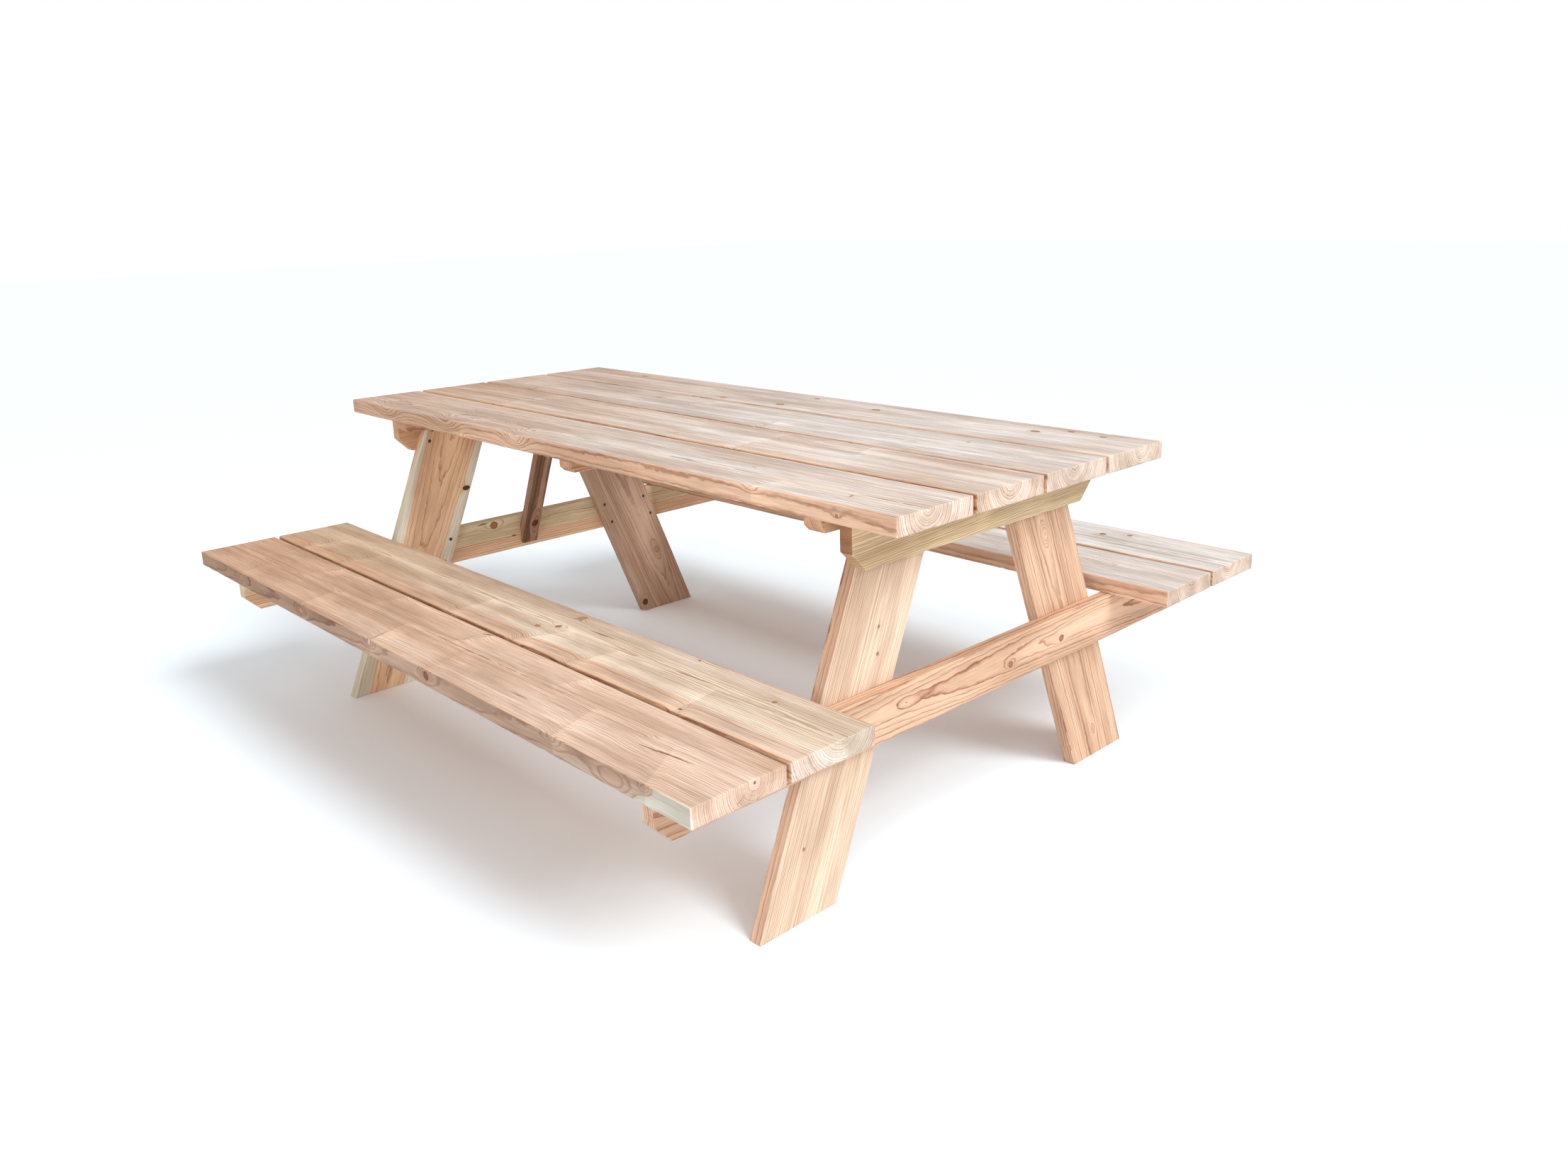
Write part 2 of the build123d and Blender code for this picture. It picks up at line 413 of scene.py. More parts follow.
def hole_profile(screw):
    """The hole around a screw: a bore for its shank, a countersink, and open space above its head."""
    narrow = screw.radius + HOLE_SLACK
    wide = screw.head_radius + HEAD_SINK + HOLE_SLACK
    neck = screw.head_radius - screw.radius
    return [(narrow, -screw.length - HOLE_SLACK), (narrow, -neck), (wide, HEAD_SINK), (wide, OPEN_HEIGHT)]


def crosses(board, screw):
    """Whether a screw passes through the box around a board."""
    low, high = board.corners
    margin = 1 * MM
    steps = 20
    samples = [screw.tip.lerp(screw.head, step / steps) for step in range(steps + 1)]
    return any(all(low[a] + margin < point[a] < high[a] - margin for a in range(3)) for point in samples)


def cut(obj, points, faces):
    """Takes a closed shape out of an object's mesh."""
    cutter = new_mesh_object("cutter", points, faces)
    hole = obj.modifiers.new("holes", "BOOLEAN")
    hole.object = cutter
    hole.solver = "MANIFOLD"
    bpy.context.view_layer.update()
    solid = obj.evaluated_get(bpy.context.evaluated_depsgraph_get())
    holed = bpy.data.meshes.new_from_object(solid)
    obj.modifiers.clear()
    obj.data = holed
    obj.data.materials.clear()
    obj.data.set_sharp_from_angle(angle=SHARP_ANGLE)
    bpy.data.objects.remove(cutter)


def drill(obj, board, screws):
    """Cuts the holes of every screw that passes through a board."""
    crossing = [screw for screw in screws if crosses(board, screw)]
    if crossing:
        cut(obj, *turned(crossing, hole_profile, HOLE_SIDES))


# ---------------------------------------------------------------- shader nodes

class Nodes:
    """Adds and links the nodes of one tree. A value is a number, a tuple or another node's output socket."""

    def __init__(self, tree):
        self.tree = tree

    def feed(self, socket, value):
        if isinstance(value, bpy.types.NodeSocket):
            self.tree.links.new(value, socket)
        else:
            socket.default_value = value

    def add(self, kind, inputs=None, **settings):
        node = self.tree.nodes.new(kind)
        for name, value in settings.items():
            setattr(node, name, value)
        for key, value in (inputs or {}).items():
            self.feed(node.inputs[key], value)
        return node

    def group(self, tree, inputs):
        return self.add("ShaderNodeGroup", inputs, node_tree=tree).outputs

    def math(self, operation, *values, clamp=False):
        inputs = dict(enumerate(values))
        return self.add("ShaderNodeMath", inputs, operation=operation, use_clamp=clamp).outputs[0]

    def times(self, first, *others, clamp=False):
        for value in others:
            first = self.math("MULTIPLY", first, value, clamp=clamp)
        return first

    def plus(self, first, second):
        return self.math("ADD", first, second)

    def minus(self, first, second):
        return self.math("SUBTRACT", first, second)

    def vector(self, operation, *values):
        node = self.add("ShaderNodeVectorMath", dict(enumerate(values)), operation=operation)
        single = operation in ("LENGTH", "DOT_PRODUCT")
        return node.outputs["Value" if single else "Vector"]

    def scaled(self, vector, factor):
        inputs = {"Vector": vector, "Scale": factor}
        return self.add("ShaderNodeVectorMath", inputs, operation="SCALE").outputs["Vector"]

    def split(self, vector):
        return self.add("ShaderNodeSeparateXYZ", {"Vector": vector}).outputs

    def join(self, x, y, z):
        return self.add("ShaderNodeCombineXYZ", {"X": x, "Y": y, "Z": z}).outputs[0]

    def smooth(self, value, low, high):
        """A soft step: 0 up to low and 1 from high on. With low above high it falls instead."""
        inputs = {"Value": value, "From Min": low, "From Max": high}
        node = self.add("ShaderNodeMapRange", inputs, interpolation_type="SMOOTHSTEP")
        return node.outputs["Result"]

    def ranged(self, value, low, high):
        """Brings a value between 0 and 1 into a narrower range."""
        inputs = {"Value": value, "To Min": low, "To Max": high}
        return self.add("ShaderNodeMapRange", inputs).outputs["Result"]

    def noise(self, vector, stretch, seed, detail=2.0, roughness=0.5):
        stretched = self.vector("MULTIPLY", vector, stretch)
        moved = self.vector("ADD", stretched, self.add("ShaderNodeCombineXYZ", {"Z": seed}).outputs[0])
        inputs = {"Vector": moved, "Scale": 1.0, "Detail": detail, "Roughness": roughness}
        return self.add("ShaderNodeTexNoise", inputs).outputs["Fac"]

    def dice(self, number):
        """A random value from 0 to 1 that belongs to a whole number."""
        node = self.add("ShaderNodeTexWhiteNoise", {"W": number}, noise_dimensions="1D")
        return node.outputs["Value"]

    def mix(self, factor, first, second, blend="MIX"):
        """Mixes two colours. The mix node has its colour sockets after those for numbers and vectors."""
        inputs = {0: factor, 6: first, 7: second}
        return self.add("ShaderNodeMix", inputs, data_type="RGBA", blend_type=blend).outputs[2]

    def tinted(self, base, tint, amount=1.0):
        return self.mix(amount, base, tint, blend="MULTIPLY")

    def ramp(self, value, stops):
        """A curve of grey levels through stops, which are pairs of a place and a level."""
        node = self.add("ShaderNodeValToRGB", {"Fac": value})
        elements = node.color_ramp.elements
        while len(elements) < len(stops):
            elements.new(0.5)
        for element, (place, level) in zip(elements, stops):
            element.position = place
            element.color = (level, level, level, 1)
        return node.outputs["Color"]


def colour(red, green, blue):
    """A screen colour from 0 to 255 as the linear colour that shaders use."""
    def linear(level):
        share = level / 255
        return share / 12.92 if share <= 0.04045 else ((share + 0.055) / 1.055) ** 2.4
    return (linear(red), linear(green), linear(blue), 1.0)


SOCKETS = {"float": "NodeSocketFloat", "vector": "NodeSocketVector", "colour": "NodeSocketColor"}


def new_group(name, inputs, outputs):
    """An empty node group whose sockets are listed by kind: its nodes, the sockets to read from and the
    sockets to feed."""
    tree = bpy.data.node_groups.new(name, "ShaderNodeTree")
    for way, sockets in (("INPUT", inputs), ("OUTPUT", outputs)):
        for kind, labels in sockets.items():
            for label in labels:
                tree.interface.new_socket(label, in_out=way, socket_type=SOCKETS[kind])
    given = tree.nodes.new("NodeGroupInput").outputs
    result = tree.nodes.new("NodeGroupOutput").inputs
    return Nodes(tree), given, result


# ---------------------------------------------------------------- knots and streaks

KNOT_MARKS = ("Swell", "Core", "Deep", "Rim", "Halo", "Glint")


def knot_group():
    """One branch inside the wood. From its Start it runs in the Branch direction and swells the growth
    rings around it, so that every face of the board shows the same knot."""
    sizes = ["Uneven", "Size", "Dark", "Bulge", "Glow"]
    earlier = [f"{mark} In" for mark in KNOT_MARKS]
    inputs = {"vector": ["Point", "Start", "Branch"], "float": sizes + earlier}
    n, given, result = new_group("Knot", inputs, {"float": KNOT_MARKS})
    offset = n.vector("SUBTRACT", given["Point"], given["Start"])
    reach = n.vector("DOT_PRODUCT", offset, given["Branch"])
    aside = n.vector("SUBTRACT", offset, n.scaled(given["Branch"], reach))
    distance = n.vector("LENGTH", aside)
    stretched = n.vector("LENGTH", n.vector("MULTIPLY", aside, (0.42, 1.0, 1.0)))

    # The branch starts thin, and the rings swell around it as a hill with soft sides
    outward = n.smooth(reach, 0.0, 0.012)
    grown = n.times(given["Size"], n.ranged(n.smooth(reach, 0.0, 0.05), 0.45, 1.0))
    relative = n.math("DIVIDE", distance, n.times(grown, n.ranged(given["Uneven"], 0.75, 1.25)))
    spread = n.math("DIVIDE", stretched, grown)
    fall = n.math("EXPONENT", n.times(n.math("POWER", spread, 2.0), -0.35))
    swell = n.times(fall, n.times(grown, given["Bulge"]), outward)

    shown = n.times(outward, n.smooth(given["Dark"], 0.0, 0.1))
    core = n.times(n.smooth(relative, 1.08, 0.9), shown)
    edge = n.math("ABSOLUTE", n.minus(relative, 1.0))
    rim = n.times(n.smooth(edge, 0.22, 0.02), n.times(shown, n.ranged(given["Dark"], 0.25, 1.0)))
    halo = n.times(n.smooth(spread, 3.0, 0.8), n.times(shown, given["Dark"]))

    # Painted highlight: the wood on one side of a branch that lies flat in the board is lightened as if it
    # caught the light; Glow picks the side
    lengthwise, *sideways = n.split(aside)
    depth = n.vector("LENGTH", n.join(0.0, *sideways))
    chosen_side = n.smooth(n.times(lengthwise, given["Glow"]), 0.0, 0.002)
    near = n.times(n.smooth(n.math("ABSOLUTE", lengthwise), 0.08, 0.004), n.smooth(depth, 0.06, 0.02))
    pale = n.times(near, chosen_side, n.math("ABSOLUTE", given["Glow"]), outward)

    n.feed(result["Swell"], n.plus(given["Swell In"], swell))
    fresh = {"Core": core, "Deep": n.times(core, given["Dark"]), "Rim": rim, "Halo": halo, "Glint": pale}
    for mark, value in fresh.items():
        n.feed(result[mark], n.math("MAXIMUM", given[f"{mark} In"], value))
    return n.tree


def streak_group():
    """One resin pocket: a long dark lens that lies along the grain."""
    sizes = ["Uneven", "Half Length", "Half Width", "Slant", "Mask In"]
    inputs = {"vector": ["Point", "Centre"], "float": sizes}
    n, given, result = new_group("Streak", inputs, {"float": ["Mask"]})
    along, across, through = n.split(n.vector("SUBTRACT", given["Point"], given["Centre"]))
    share = n.math("DIVIDE", along, given["Half Length"])
    taper = n.minus(1.0, n.times(share, share))
    wander = n.times(n.minus(given["Uneven"], 0.5), 0.006)
    drift = n.plus(n.times(along, given["Slant"]), wander)
    sideways = n.math("DIVIDE", n.math("ABSOLUTE", n.minus(across, drift)), given["Half Width"])
    inside = n.smooth(n.minus(taper, sideways), -0.15, 0.35)
    shallow = n.smooth(n.math("ABSOLUTE", through), 0.012, 0.006)
    n.feed(result["Mask"], n.math("MAXIMUM", given["Mask In"], n.times(inside, shallow)))
    return n.tree


# ---------------------------------------------------------------- softwood

# Early wood and late wood of each tone
PALETTES = {
    "pink": (colour(230, 196, 170), colour(160, 106, 80)),
    "cream": (colour(232, 207, 176), colour(168, 122, 88)),
    "peach": (colour(238, 211, 185), colour(176, 126, 94)),
    # The next two are lightened as painted light, for far boards that the table shades
    "straw": (colour(246, 228, 190), colour(188, 148, 104)),
    "honey": (colour(248, 207, 166), colour(172, 112, 76)),
    "yellow": (colour(236, 213, 172), colour(176, 130, 84)),
    "orange": (colour(228, 184, 146), colour(154, 94, 62)),
    "salmon": (colour(230, 191, 160), colour(162, 106, 78)),
    # Darkened as painted shade under the table
    "tan": (colour(200, 164, 138), colour(132, 94, 72)),
    "brown": (colour(196, 152, 126), colour(128, 84, 62)),
    # Painted shade, for the brace's underside
    "umber": (colour(128, 92, 66), colour(76, 50, 34)),
    "sapwood": (colour(238, 228, 204), colour(202, 182, 150)),
}
# The same for bleached wood, and the two tones that each kind of knot is mottled with
BLEACHED = (colour(230, 220, 211), colour(160, 132, 114))
PALE_KNOT = (colour(228, 204, 182), colour(200, 156, 126))
AMBER_KNOT = (colour(206, 140, 92), colour(150, 88, 52))
DARK_KNOT = (colour(122, 72, 44), colour(52, 30, 20))
WHITE_DASH = colour(248, 245, 242)
GREY_CHECK = colour(142, 112, 96)
KNOT_RIM = colour(66, 36, 22)
RESIN = colour(132, 74, 44)
CRACK = colour(92, 62, 44)
# Tints, from the lightest to the darkest where there are two
YEAR_TINTS = ((1.06, 1.07, 1.08, 1), (0.91, 0.87, 0.83, 1))
MOTTLE_TINTS = ((1.10, 1.11, 1.12, 1), (0.83, 0.78, 0.74, 1))
# Painted highlight beside some knots
LIT_BY_KNOT = (1.22, 1.24, 1.26, 1)

# A late line through one year: soft on its inner side and sharp on the outer one, and wider on a sawn end
LATE_ON_FACE = [(0.0, 0.0), (0.35, 0.06), (0.62, 0.32), (0.8, 0.95), (0.9, 1.0), (1.0, 0.0)]
LATE_ON_END = [(0.0, 0.0), (0.2, 0.1), (0.55, 0.55), (0.8, 1.0), (0.92, 0.9), (1.0, 0.0)]
CRACK_SECTORS = 11


class Softwood:
    """The node group of solid softwood: growth rings around a pith line, so that faces, edges and sawn ends
    all agree."""

    INPUTS = {
        "vector": ["Local", "Pith", "Run", "Across"],
        "float": [
            *KNOT_MARKS, "Streaks", "Seed", "Half Width", "Ring Width", "Wave", "Sharpness", "Contrast",
            "Boundary", "Sapwood", "Bleach", "End Tone Share", "Cracks",
        ],
        "colour": [
            "Early", "Late", "Outer Early", "Outer Late", "End Tone", "Far Shade", "Side Shade", "Top Shading",
        ],
    }
    OUTPUTS = {"colour": ["Colour"], "float": ["Roughness", "Height"]}

    def __init__(self):
        self.n, self.given, self.result = new_group("Softwood", self.INPUTS, self.OUTPUTS)
        n, given = self.n, self.given
        self.local = given["Local"]
        self.surface = n.add("ShaderNodeNewGeometry").outputs["Normal"]
        self.sawn = n.smooth(self.facing(given["Run"]), 0.6, 0.9)
        self.pith = n.split(given["Pith"])
        distance = n.vector("LENGTH", n.join(0.0, self.pith[1], self.pith[2]))
        self.radius = n.minus(distance, given["Swell"])
        self.sway = n.minus(self.patchy((1.3, 9.0, 9.0), detail=2.5), 0.5)
        self.ripple = n.minus(self.patchy((34.0, 90.0, 90.0), detail=1.0), 0.5)
        self.late = self.growth_rings()

        wood = self.mottled_and_shaded(self.bleached(self.toned_rings()))
        n.feed(self.result["Colour"], self.with_marks(self.with_fibres(wood)))
        self.feed_surface()

    def facing(self, direction):
        """How squarely the surface faces along a direction, either way."""
        return self.n.math("ABSOLUTE", self.n.vector("DOT_PRODUCT", self.surface, direction))

    def patchy(self, stretch, shift=0.0, **settings):
        """Noise over the board. shift tells apart the noises of one board."""
        seed = self.n.plus(self.given["Seed"], shift) if shift else self.given["Seed"]
        return self.n.noise(self.local, stretch, seed, **settings)

    def growth_rings(self):
        """Pale early wood that darkens to a sharp late line, year after year, some years fainter."""
        n, given = self.n, self.given
        bend = n.minus(self.patchy((5.0, 14.0, 14.0), 2.0, detail=1.5), 0.5)
        drift = n.times(n.plus(self.sway, n.times(bend, 0.4)), given["Wave"])
        drift = n.plus(drift, n.times(self.ripple, 0.5))
        self.even = n.plus(n.math("DIVIDE", self.radius, given["Ring Width"]), drift)
        thick = n.noise(n.join(self.even, 0.0, 0.0), (0.45, 1.0, 1.0), given["Seed"], detail=1.0)
        ring = n.plus(self.even, n.times(thick, 2.0))
        year = n.math("FLOOR", ring)
        phase = n.math("POWER", n.minus(ring, year), given["Sharpness"])
        season = n.dice(n.plus(year, given["Seed"]))
        broken = self.patchy((14.0, 120.0, 120.0), 6.0)
        late = n.mix(self.sawn, n.ramp(phase, LATE_ON_FACE), n.times(n.ramp(phase, LATE_ON_END), 0.8))
        late = n.times(late, n.ranged(season, 0.6, 1.0))
        late = n.times(late, n.ranged(n.smooth(broken, 0.3, 0.65), 0.65, 1.0))
        return n.times(late, given["Contrast"])

    def toned_rings(self):
        """Two tones of heartwood and the sapwood outside them, each split at a ring. On the brace the outer
        tone is painted shade on its underside.
        """
        n, given = self.n, self.given
        place = n.plus(self.radius, n.times(self.sway, 0.012))
        outer = n.smooth(n.minus(place, given["Boundary"]), -0.002, 0.003)
        sapwood = n.smooth(n.minus(place, given["Sapwood"]), -0.002, 0.003)
        early_sapwood, late_sapwood = PALETTES["sapwood"]
        early = n.mix(sapwood, n.mix(outer, given["Early"], given["Outer Early"]), early_sapwood)
        self.late_tone = n.mix(sapwood, n.mix(outer, given["Late"], given["Outer Late"]), late_sapwood)
        # Sawn ends take the end tone, which on the right-hand top rail is darkened as painted shade
        early = n.mix(n.times(self.sawn, given["End Tone Share"]), early, given["End Tone"])
        return n.mix(self.late, early, self.late_tone)

    def bleached(self, wood):
        """Faces that look up are bleached by sun and rain, in streaks, and the arrises keep more of their
        colour. The bleach grows towards the right-hand end, which is painted light, and its white dashes are
        partly painted sheen."""
        n, given = self.n, self.given
        along, across, _ = n.split(self.local)
        from_arris = n.minus(given["Half Width"], n.math("ABSOLUTE", across))
        upward = n.smooth(n.split(self.surface)[2], 0.5, 0.95)
        self.upward = n.times(upward, n.smooth(from_arris, 0.001, 0.006))
        patches = n.smooth(self.patchy((3.0, 22.0, 22.0), 9.0, detail=3.0), 0.25, 0.7)
        # Painted light: the bleach grows towards the right-hand end
        streaks_and_lit_end = n.times(n.ranged(patches, 0.55, 1.0), n.smooth(along, -1.8, 0.5))
        bleach = n.times(n.times(self.upward, given["Bleach"]), streaks_and_lit_end, clamp=True)
        wood = n.mix(bleach, wood, n.mix(self.late, *BLEACHED))
        # White dashes: pale fibres, and painted sheen as well
        dashes = n.smooth(self.patchy((10.0, 320.0, 320.0), 8.0), 0.56, 0.72)
        wood = n.mix(n.times(dashes, n.times(bleach, 0.7)), wood, WHITE_DASH)
        checks = n.smooth(self.patchy((7.0, 280.0, 280.0), 5.0), 0.58, 0.74)
        return n.mix(n.times(checks, n.times(bleach, 0.45)), wood, GREY_CHECK)

    def mottled_and_shaded(self, wood):
        """Slow changes of tone, from one group of rings to the next and along the board. Then painted shade
        towards its left-hand end and on its sides, painted light and shade on its top, and a painted
        highlight beside knots."""
        n, given = self.n, self.given
        seed = n.plus(given["Seed"], 3.0)
        years = n.noise(n.join(self.even, 0.0, 0.0), (0.3, 1.0, 1.0), seed)
        wood = n.tinted(wood, n.mix(n.smooth(years, 0.3, 0.7), *YEAR_TINTS))
        mottle = self.patchy((2.6, 18.0, 18.0), 4.0, detail=4.0)
        wood = n.tinted(wood, n.mix(n.smooth(mottle, 0.35, 0.68), *MOTTLE_TINTS))
        # Painted shade: the board darkens towards its left-hand end, where less light falls
        farness = n.minus(1.0, n.smooth(n.split(self.local)[0], -1.0, 0.7))
        wood = n.tinted(wood, given["Far Shade"], farness)
        # Painted shade on the faces that look sideways, across the board
        wood = n.tinted(wood, given["Side Shade"], n.smooth(self.facing(given["Across"]), 0.5, 0.9))
        # Painted light and shade on the faces that look up
        wood = n.tinted(wood, given["Top Shading"], self.upward)
        return n.tinted(wood, LIT_BY_KNOT, given["Glint"])

    def with_fibres(self, wood):
        """Fine fibres, and on sawn ends the marks of the saw."""
        n = self.n
        self.fibre = self.patchy((11.0, 520.0, 520.0), detail=3.0, roughness=0.65)
        self.saw = self.patchy((1.0, 420.0, 25.0))
        fibre_level = n.ranged(n.smooth(self.fibre, 0.25, 0.75), 0.80, 1.14)
        saw_level = n.ranged(self.saw, 0.86, 1.12)
        level = n.mix(self.sawn, n.join(*[fibre_level] * 3), n.join(*[saw_level] * 3))
        return n.tinted(wood, level)

    def end_cracks(self):
        """Radial cracks in sawn ends, in some sectors only, and the soft pith itself."""
        n, given = self.n, self.given
        sector_angle = math.tau / CRACK_SECTORS
        angle = n.math("DIVIDE", n.math("ARCTAN2", self.pith[2], self.pith[1]), sector_angle)
        angle = n.plus(angle, n.times(self.ripple, 0.35))
        sector = n.math("FLOOR", angle)
        chance = n.dice(n.plus(sector, given["Seed"]))
        aside = n.math("ABSOLUTE", n.minus(n.minus(angle, sector), 0.5))
        aside = n.times(aside, self.radius, sector_angle)
        reach = n.math("ABSOLUTE", n.minus(self.radius, n.times(chance, 0.05)))
        crack = n.times(n.smooth(aside, 0.0005, 0.0001), n.smooth(reach, 0.016, 0.008))
        crack = n.times(crack, self.sawn, n.smooth(chance, 0.45, 0.55))
        bare_pith = n.times(n.smooth(self.radius, 0.0032, 0.0022), self.sawn)
        return n.times(n.math("MAXIMUM", crack, bare_pith), given["Cracks"])

    def with_marks(self, wood):
        """Knots, resin and cracks."""
        n, given = self.n, self.given
        wood = n.mix(n.times(given["Halo"], 0.22), wood, self.late_tone)
        mottle = n.noise(self.local, (260.0, 260.0, 260.0), given["Seed"], detail=3.0)
        pale, amber, dark = (n.mix(mottle, *tones) for tones in (PALE_KNOT, AMBER_KNOT, DARK_KNOT))
        knot = n.mix(n.smooth(given["Deep"], 0.2, 0.5), pale, amber)
        knot = n.mix(n.smooth(given["Deep"], 0.75, 1.0), knot, dark)
        wood = n.mix(given["Core"], wood, knot)
        wood = n.mix(given["Rim"], wood, KNOT_RIM)
        wood = n.mix(n.times(given["Streaks"], 0.85), wood, RESIN)
        return n.mix(self.end_cracks(), wood, CRACK)

    def feed_surface(self):
        """Late wood is harder, so it shines more and stands proud. Sawn ends are rough."""
        n, given = self.n, self.given
        rough = n.minus(0.68, n.times(self.late, 0.12))
        rough = n.plus(rough, n.times(n.minus(self.fibre, 0.5), 0.2))
        n.feed(self.result["Roughness"], n.plus(rough, n.times(self.sawn, 0.12)))
        relief = n.plus(n.times(self.late, 0.6), n.times(self.fibre, 0.3))
        relief = n.plus(relief, n.times(self.saw, self.sawn, 0.6))
        relief = n.plus(relief, n.times(given["Core"], 0.5))
        marks = n.plus(given["Rim"], given["Streaks"])
        n.feed(self.result["Height"], n.minus(relief, n.times(marks, 0.8)))


# rise is how far a branch climbs along the board for each millimetre outward from the pith. An upright
# branch doesn't start at the pith but straight below the face.
Knot = namedtuple(
    "Knot", "place size dark bulge rise glow upright", defaults=(0.25, 1.25, 0.35, 0.0, False)
)
Streak = namedtuple("Streak", "place half_length half_width slant", defaults=(0.0,))

UPRIGHT_BRANCH_DEPTH = 60 * MM
NO_TINT = (1, 1, 1)


def face_knot(place, size, dark=0.25, bulge=1.25, rise=0.35):
    """A round knot, where a branch comes up through the face of a board."""
    return Knot(place, size, dark, bulge, rise, upright=True)


class Grain:
    """How one board was cut from its log, and what shows in it. Lengths are in millimetres in the board's
    own frame: along its length, across its width and through its thickness, from its centre."""

    def __init__(self, pith, ring=4.0, tone="orange", outer=None, boundary=400, sapwood=400, slope=(0, 0),
                 wave=2.2, sharpness=1.0, contrast=1.0, bleach=0.0, end_tone_share=0.6,
                 end_tone=(224, 216, 204), cracks=0.2, far_shade=NO_TINT, side_shade=NO_TINT,
                 top_shading=NO_TINT, knots=(), streaks=()):
        self.pith = pith
        self.slope = slope
        self.knots = knots
        self.streaks = streaks
        early, late = PALETTES[tone]
        outer_early, outer_late = PALETTES[outer or tone]
        self.inputs = {
            "Ring Width": ring * MM, "Wave": wave, "Sharpness": sharpness, "Contrast": contrast,
            "Early": early, "Late": late, "Outer Early": outer_early, "Outer Late": outer_late,
            "Boundary": boundary * MM, "Sapwood": sapwood * MM, "Bleach": bleach, "End Tone Share": end_tone_share,
            "End Tone": colour(*end_tone), "Cracks": cracks, "Far Shade": (*far_shade, 1),
            "Side Shade": (*side_shade, 1), "Top Shading": (*top_shading, 1),
        }

    def branch_line(self, knot):
        """Where the branch of a knot starts, seen from the pith, and its direction."""
        along, across, through = (value * MM for value in knot.place)
        pith_across = self.pith[0] * MM + self.slope[0] * along
        pith_through = self.pith[1] * MM + self.slope[1] * along
        out = Vector((0.0, across - pith_across, through - pith_through))
        if knot.upright:
            direction = Vector((knot.rise, 0.0, math.copysign(1.0, through)))
            start = Vector((along, out.y, out.z)) - direction * UPRIGHT_BRANCH_DEPTH
            return start, direction.normalized()
        direction = Vector((knot.rise * out.length, out.y, out.z))
        return Vector((along - direction.x, 0.0, 0.0)), direction.normalized()


def add_knots(n, grain, from_pith, uneven, group):
    """Chains the groups of a board's knots, and returns what they add up to."""
    marks = dict.fromkeys(KNOT_MARKS, 0.0)
    for knot in grain.knots:
        start, branch = grain.branch_line(knot)
        earlier = {f"{mark} In": value for mark, value in marks.items()}
        outputs = n.group(group, {
            "Point": from_pith, "Uneven": uneven, "Start": start, "Branch": branch, "Size": knot.size * MM,
            "Dark": knot.dark, "Bulge": knot.bulge, "Glow": knot.glow, **earlier,
        })
        marks = {mark: outputs[mark] for mark in KNOT_MARKS}
    return marks


def add_streaks(n, grain, local, uneven, group):
    """Chains the groups of a board's resin streaks, and returns where they show."""
    mask = 0.0
    for streak in grain.streaks:
        outputs = n.group(group, {
            "Point": local, "Uneven": uneven, "Centre": [value * MM for value in streak.place],
            "Half Length": streak.half_length * MM, "Half Width": streak.half_width * MM,
            "Slant": streak.slant, "Mask In": mask,
        })
        mask = outputs["Mask"]
    return mask


def wood_material(board, grain, seed, groups):
    """The material of one board."""
    material, n = empty_material(f"wood_{board.node}")
    place = n.add("ShaderNodeTexCoord").outputs["Object"]
    offset = n.vector("SUBTRACT", place, board.centre)
    axes = (board.run, board.across, board.through)
    local = n.join(*[n.vector("DOT_PRODUCT", offset, axis) for axis in axes])
    along = n.split(local)[0]
    pith = [n.plus(n.times(along, slope), start * MM) for slope, start in zip(grain.slope, grain.pith)]
    from_pith = n.vector("SUBTRACT", local, n.join(0.0, *pith))

    # One noise serves all the knots and streaks of a board: with one in each, its shader gets too big
    uneven = n.noise(local, (40.0, 60.0, 60.0), seed)
    marks = add_knots(n, grain, from_pith, uneven, groups["knot"])
    streaks = add_streaks(n, grain, local, uneven, groups["streak"])
    wood = n.group(groups["softwood"], {
        "Local": local, "Pith": from_pith, "Run": board.run, "Across": board.across, "Seed": seed,
        "Half Width": (board.high[1] - board.low[1]) / 2, "Streaks": streaks, **marks, **grain.inputs,
    })
    bump = n.add("ShaderNodeBump", {"Height": wood["Height"], "Strength": 0.5, "Distance": 0.35 * MM})
    shader = n.add("ShaderNodeBsdfPrincipled", {
        "Base Color": wood["Colour"], "Roughness": wood["Roughness"], "Normal": bump.outputs[0],
        "Specular IOR Level": 0.35,
    })
    n.feed(n.add("ShaderNodeOutputMaterial").inputs["Surface"], shader.outputs[0])
    return material


def empty_material(name):
    """A material with no nodes yet, and the means to add them."""
    material = bpy.data.materials.new(name)
    material.use_nodes = True
    material.node_tree.nodes.clear()
    return material, Nodes(material.node_tree)


# ---------------------------------------------------------------- the boards of this table

X, Y, Z = 0, 1, 2

# Painted shade: the top's left-hand end is a little darker than its right-hand one, and the front bench's is
# browner too, as less light reaches that end
TABLE_FAR_SHADE = (0.91, 0.91, 0.91)
BENCH_FAR_SHADE = (0.88, 0.80, 0.73)
# Painted light: the back bench's top is lightened beyond its bleaching, so that it is the palest of all
BACK_TOP_LIGHT = (1.12, 1.16, 1.19)

# Where each board's pith is, across its width and through its thickness, and all that isn't as usual in it

